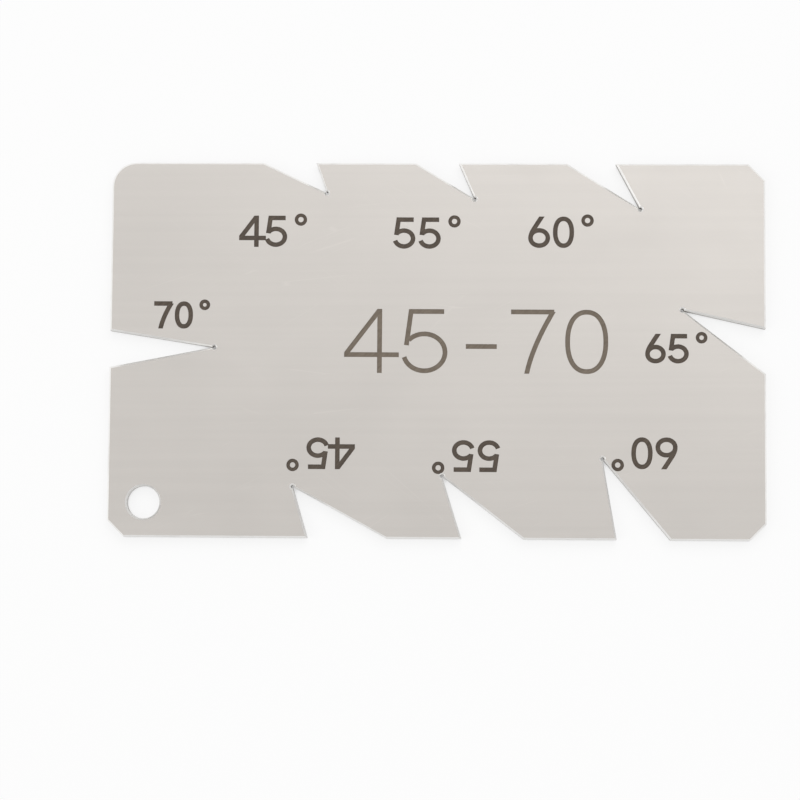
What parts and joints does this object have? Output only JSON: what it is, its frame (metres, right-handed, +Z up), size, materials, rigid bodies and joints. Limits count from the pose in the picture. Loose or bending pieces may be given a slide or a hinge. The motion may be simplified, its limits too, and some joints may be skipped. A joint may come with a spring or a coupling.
{
  "type": "valve seat angle gauge",
  "caption": "Flat sheet gauge with V notches along its edges for checking valve seat angles, with cut corners and a hanging hole.",
  "frame": {"origin": "middle of the underside, on the surface that the plate lies on", "axes": "+X along the plate's length, +Y across its width, +Z up through the sheet, out of the marked face"},
  "size_m": [0.08, 0.046, 0.0015],
  "materials": {
    "plate_steel": "satin stainless sheet, with dark marks burnt in beside the notches"
  },
  "bodies": {
    "root": {"gauge_plate": "plate_steel"}
  },
  "joints": []
}
